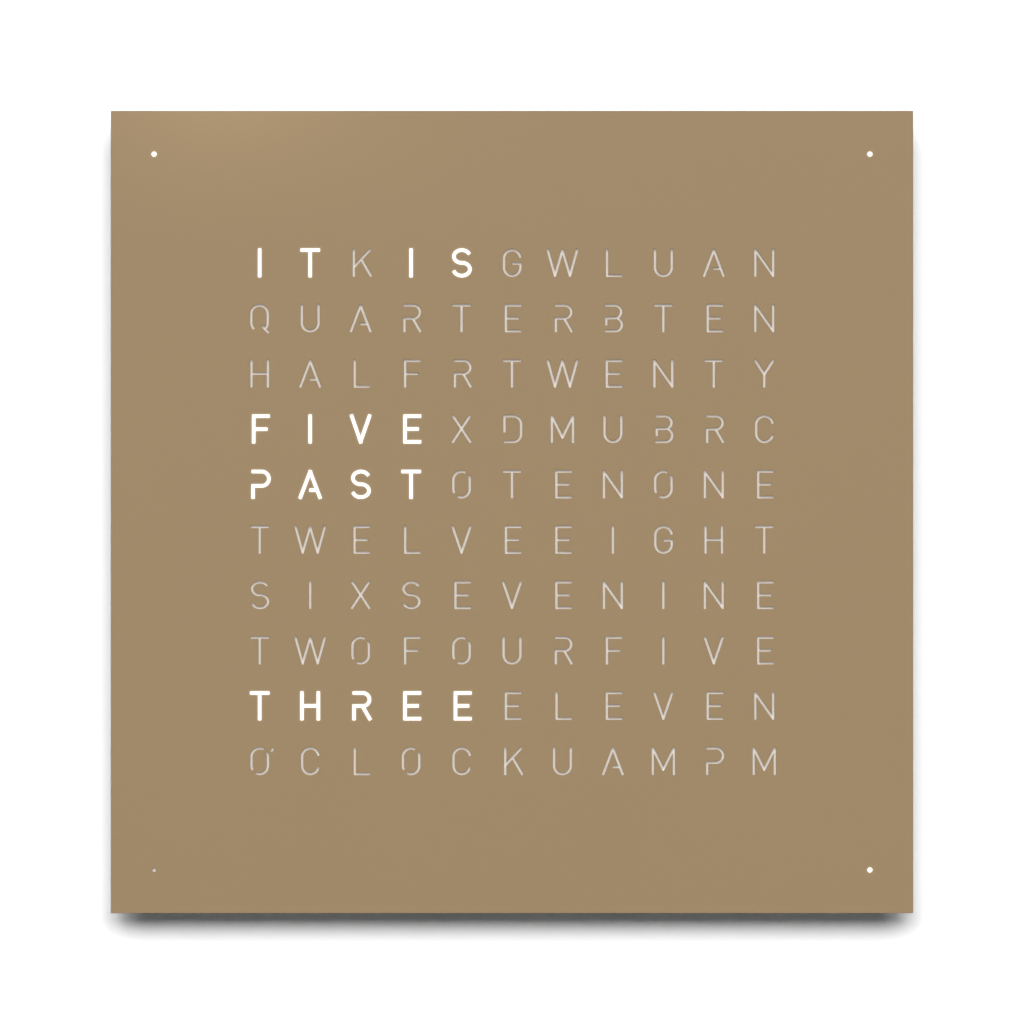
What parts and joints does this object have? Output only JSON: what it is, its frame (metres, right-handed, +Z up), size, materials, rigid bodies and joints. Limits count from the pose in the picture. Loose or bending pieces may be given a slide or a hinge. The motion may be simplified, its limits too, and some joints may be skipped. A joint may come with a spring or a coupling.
{
  "type": "word clock",
  "caption": "Square wall clock that spells the time in lit words, with a magnetic steel cover, corner minute dots, a light grid and setting buttons.",
  "frame": {"origin": "middle of the clock on the wall plane, which its four wall pads touch", "axes": "+X to the right as seen from the front, +Z up, +Y into the wall; the face looks along -Y"},
  "size_m": [0.45, 0.02, 0.45],
  "materials": {
    "powder_coated_steel": "fine-textured matte powder coat, warm sand bronze",
    "plated_steel": "zinc plated",
    "magnet_nickel": "nickel plated",
    "anodised_aluminium": "satin natural anodised, extruded",
    "cast_bracket": "as cast",
    "painted_panel": "black semi-matte sheet",
    "white_moulding": "matte white moulding",
    "opal_plastic": "opal, translucent",
    "circuit_board": "green solder mask",
    "lamp_body": "white lamp body with a pale yellow window",
    "black_component": "black moulded",
    "button_plastic": "dark grey moulded",
    "sensor_resin": "smoked clear resin",
    "pad_rubber": "soft black",
    "cable_sleeve": "grey sleeve"
  },
  "bodies": {
    "case": {"backup_cell": "plated_steel", "board_spacers": "white_moulding", "bracket_screws": "plated_steel", "capacitor": "black_component", "carrier_panel": "white_moulding", "carrier_pillars": "plated_steel", "carrier_screws": "plated_steel", "cell_holder": "black_component", "clock_crystal": "plated_steel", "control_board": "circuit_board", "control_screws": "plated_steel", "control_standoffs": "plated_steel", "corner_board_bottom_left": "circuit_board", "corner_board_bottom_right": "circuit_board", "corner_board_top_left": "circuit_board", "corner_board_top_right": "circuit_board", "corner_bracket_bottom_left": "cast_bracket", "corner_bracket_bottom_right": "cast_bracket", "corner_bracket_top_left": "cast_bracket", "corner_bracket_top_right": "cast_bracket", "corner_lamps": "lamp_body", "corner_leads": "cable_sleeve", "cover_magnets": "magnet_nickel", "grid_screws": "plated_steel", "lamp_board": "circuit_board", "letter_lamps": "lamp_body", "light_cup_bottom_left": "white_moulding", "light_cup_bottom_right": "white_moulding", "light_cup_top_left": "white_moulding", "light_cup_top_right": "white_moulding", "light_grid": "white_moulding", "light_sensor": "sensor_resin", "link_cable": "cable_sleeve", "link_sockets": "black_component", "microcontroller": "black_component", "minute_lenses": "opal_plastic", "opal_sheet": "opal_plastic", "power_inlet": "black_component", "rail_bottom": "anodised_aluminium", "rail_left": "anodised_aluminium", "rail_right": "anodised_aluminium", "rail_top": "anodised_aluminium", "rear_panel": "painted_panel", "rear_panel_screws": "plated_steel", "regulator": "black_component", "switch_hour": "black_component", "switch_light": "black_component", "switch_minute": "black_component", "wall_pads": "pad_rubber"},
    "cover": {"front_cover": "powder_coated_steel", "cover_studs": "plated_steel"},
    "button_hour": {"button_hour": "button_plastic", "plunger_hour": "button_plastic"},
    "button_minute": {"button_minute": "button_plastic", "plunger_minute": "button_plastic"},
    "button_light": {"button_light": "button_plastic", "plunger_light": "button_plastic"}
  },
  "joints": [
    {"name": "cover_pull", "type": "slide", "parent": "case", "child": "cover", "axis": [0, -1, 0], "range_m": [0, 0.06]},
    {"name": "press_hour", "type": "slide", "parent": "case", "child": "button_hour", "axis": [0, 0, 1], "range_m": [0, 0.001], "stiffness_N_per_m": 600, "springref_m": -0.001},
    {"name": "press_minute", "type": "slide", "parent": "case", "child": "button_minute", "axis": [0, 0, 1], "range_m": [0, 0.001], "stiffness_N_per_m": 600, "springref_m": -0.001},
    {"name": "press_light", "type": "slide", "parent": "case", "child": "button_light", "axis": [0, 0, 1], "range_m": [0, 0.001], "stiffness_N_per_m": 600, "springref_m": -0.001}
  ]
}
